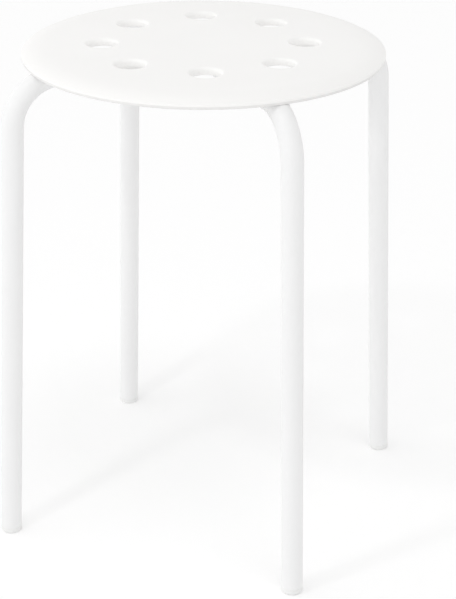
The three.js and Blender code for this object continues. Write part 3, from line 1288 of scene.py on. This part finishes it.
@dataclass(frozen=True)
class NearLamp:
    """A round lamp close by, and its share of a white level surface's light."""

    name: str
    position: tuple[float, float, float]
    share: float
    width: float

    def place(self) -> None:
        """Makes the lamp."""
        position = Vector(self.position)
        rise = position.z / position.length
        data = bpy.data.lights.new(self.name, "AREA")
        data.shape = "DISK"
        data.size = self.width
        data.energy = self.share * math.pi ** 2 * position.length_squared / rise
        hang(self.name, data, position)


@dataclass(frozen=True)
class PhotographCamera:
    """The photograph's camera, as fitted to the stool's outline."""

    distance: float = 1466.92 * MM
    height: float = 873.43 * MM
    focal_pixels: float = 1722.97
    pitch: float = math.radians(24.61)
    yaw: float = math.radians(-0.22)
    roll: float = math.radians(0.01)
    stool_turn: float = math.radians(-23.84)
    axis_pixel: float = 197.0
    frame_pixels: tuple[float, float] = (456.0, 599.0)
    sensor: float = 36.0
    far_limit: float = 100.0

    def place(self) -> None:
        """Makes the camera and looks through it."""
        data = bpy.data.cameras.new("photograph_camera")
        width, height = self.frame_pixels
        data.sensor_fit = "AUTO"
        data.sensor_width = self.sensor
        data.lens = self.focal_pixels * self.sensor / height
        data.shift_x = (width / 2 - self.axis_pixel) / height
        data.clip_end = self.far_limit
        ahead = Vector((
            math.sin(self.yaw) * math.cos(self.pitch),
            math.cos(self.yaw) * math.cos(self.pitch),
            -math.sin(self.pitch),
        ))
        level = Vector((math.cos(self.yaw), -math.sin(self.yaw), 0.0))
        above = level.cross(ahead)
        right = level * math.cos(self.roll) + above * math.sin(self.roll)
        up = above * math.cos(self.roll) - level * math.sin(self.roll)
        camera = stand("photograph_camera", data)
        camera.matrix_world = (
            Matrix.Rotation(self.stool_turn, 4, "Z")
            @ Matrix.Translation((0.0, -self.distance, self.height))
            @ Matrix((right, up, -ahead)).transposed().to_4x4()
        )
        bpy.context.scene.camera = camera


@dataclass(frozen=True)
class Studio:
    """A white floor under soft light, with a white surround.

    Contact is the length of ray below which the floor is clear, so that the soles that stand on
    it are lit when they are seen from below. Bounce is the floor's white as a light, and shown
    its white to the camera. Fill is the surround's light, wall what a band at the horizon adds
    to it towards wall_azimuth, and wall_around the share of wall that it adds all round. The
    band fades out at wall_top, in heights of a direction one unit long.
    """

    floor_half: float = 30.0
    contact: float = 0.1 * MM
    bounce: float = 0.95
    shown: float = 1.06
    fill: float = 0.762
    wall: float = 0.90
    wall_around: float = 0.17
    wall_azimuth: float = math.radians(165.0)
    wall_top: float = 0.7
    lamps: tuple[FarLamp | NearLamp, ...] = (
        NearLamp("key_lamp", position=(-0.62, -0.24, 1.3), share=0.036, width=0.09),
        FarLamp("overhead_lamp", azimuth=275.0, elevation=74.0, share=0.055, softness=20.0),
        FarLamp("side_lamp", azimuth=157.0, elevation=20.0, share=0.014, softness=60.0),
    )

    def _floor(self) -> None:
        """Makes the floor: pale, with the stool's shadow, and clear from below."""
        half = self.floor_half
        corners = [(-half, -half, 0.0), (half, -half, 0.0), (half, half, 0.0), (-half, half, 0.0)]
        mesh = bpy.data.meshes.new("floor")
        mesh.from_pydata(corners, [], [(0, 1, 2, 3)])
        floor = stand("floor", mesh)
        made = bpy.data.materials.new("floor_white")
        made.use_nodes = True
        nodes = made.node_tree.nodes
        nodes.remove(nodes["Principled BSDF"])
        sheet = Sheet(made.node_tree)
        bounced = sheet.add("BsdfDiffuse", Color=(self.bounce,) * 3)
        shown = sheet.add("BsdfDiffuse", Color=(self.shown,) * 3)
        seen = sheet.add("MixShader", Fac=self._seen(sheet))
        sheet.feed(seen.inputs[1], bounced.outputs[0])
        sheet.feed(seen.inputs[2], shown.outputs[0])
        travelled = sheet.add("LightPath").outputs["Ray Length"]
        touching = sheet.maths("LESS_THAN", travelled, self.contact)
        below = sheet.add("NewGeometry").outputs["Backfacing"]
        clear = sheet.add("MixShader", Fac=sheet.maths("MAXIMUM", below, touching))
        sheet.feed(clear.inputs[1], seen.outputs[0])
        sheet.feed(clear.inputs[2], sheet.add("BsdfTransparent").outputs[0])
        sheet.feed(nodes["Material Output"].inputs["Surface"], clear.outputs[0])
        mesh.materials.append(made)

    @staticmethod
    def _seen(sheet: Sheet) -> bpy.types.NodeSocket:
        """Whether a ray shows the stage to the camera, straight or by way of metal or glass.

        Args:
            sheet: The material's or world's sheet.

        Returns:
            1 for such a ray and 0 for any other.
        """
        path = sheet.add("LightPath").outputs
        mirrored = sheet.maths("MAXIMUM", path["Is Glossy Ray"], path["Is Transmission Ray"])
        return sheet.maths("MAXIMUM", path["Is Camera Ray"], mirrored)

    def _world(self) -> None:
        """Makes the white surround, dimmer as a light than it looks, with its brighter wall."""
        world = bpy.data.worlds.new("studio_white")
        world.use_nodes = True
        bpy.context.scene.world = world
        sheet = Sheet(world.node_tree)
        back = world.node_tree.nodes["Background"].inputs
        sheet.feed(back["Color"], (1.0, 1.0, 1.0))
        direction = sheet.add("TexCoord").outputs["Generated"]
        height = sheet.add("SeparateXYZ", Vector=direction).outputs["Z"]
        low = sheet.remap(sheet.maths("ABSOLUTE", height, 0.0), 0.0, self.wall_top, self.wall, 0.0)
        facing = sheet.add("VectorMath", {"operation": "DOT_PRODUCT"}, Vector=direction)
        sheet.feed(facing.inputs[1], polar(0.5, self.wall_azimuth))
        around = sheet.maths("ADD", facing.outputs["Value"], 0.5 + self.wall_around)
        light = sheet.maths("ADD", sheet.maths("MULTIPLY", low, around), self.fill)
        seen = self._seen(sheet)
        unseen = sheet.maths("SUBTRACT", 1.0, seen)
        hidden = sheet.maths("MULTIPLY", light, unseen)
        sheet.feed(back["Strength"], sheet.maths("ADD", hidden, seen))

    def build(self) -> None:
        """Makes the floor, the surround, the lamps and the camera."""
        self._floor()
        self._world()
        for lamp in self.lamps:
            lamp.place()
        PhotographCamera().place()
        bpy.context.scene.view_settings.view_transform = "Standard"


def main() -> None:
    """Builds the studio and the stool, logging each piece's faces."""
    logging.basicConfig(level=logging.INFO, format="%(name)s: %(message)s")
    Studio().build()
    effects = Effects()
    MouldedSeat().dress(SEAT_PLASTIC.material(effects))
    coat = POWDER_COAT.material(effects)
    LegFrame("upper", Press.UP, Side.RIGHT).dress(coat)
    LegFrame("lower", Press.DOWN, Side.BACK).dress(coat)
    caps = FOOT_PLASTIC.material(effects)
    zinc = ZINC_STEEL.material(effects)
    for side, twist in zip(Side, SCREW_TWISTS):
        FootCap(side).dress(caps)
        SeatScrew(side, twist).dress(zinc)


if __name__ == "__main__":
    main()
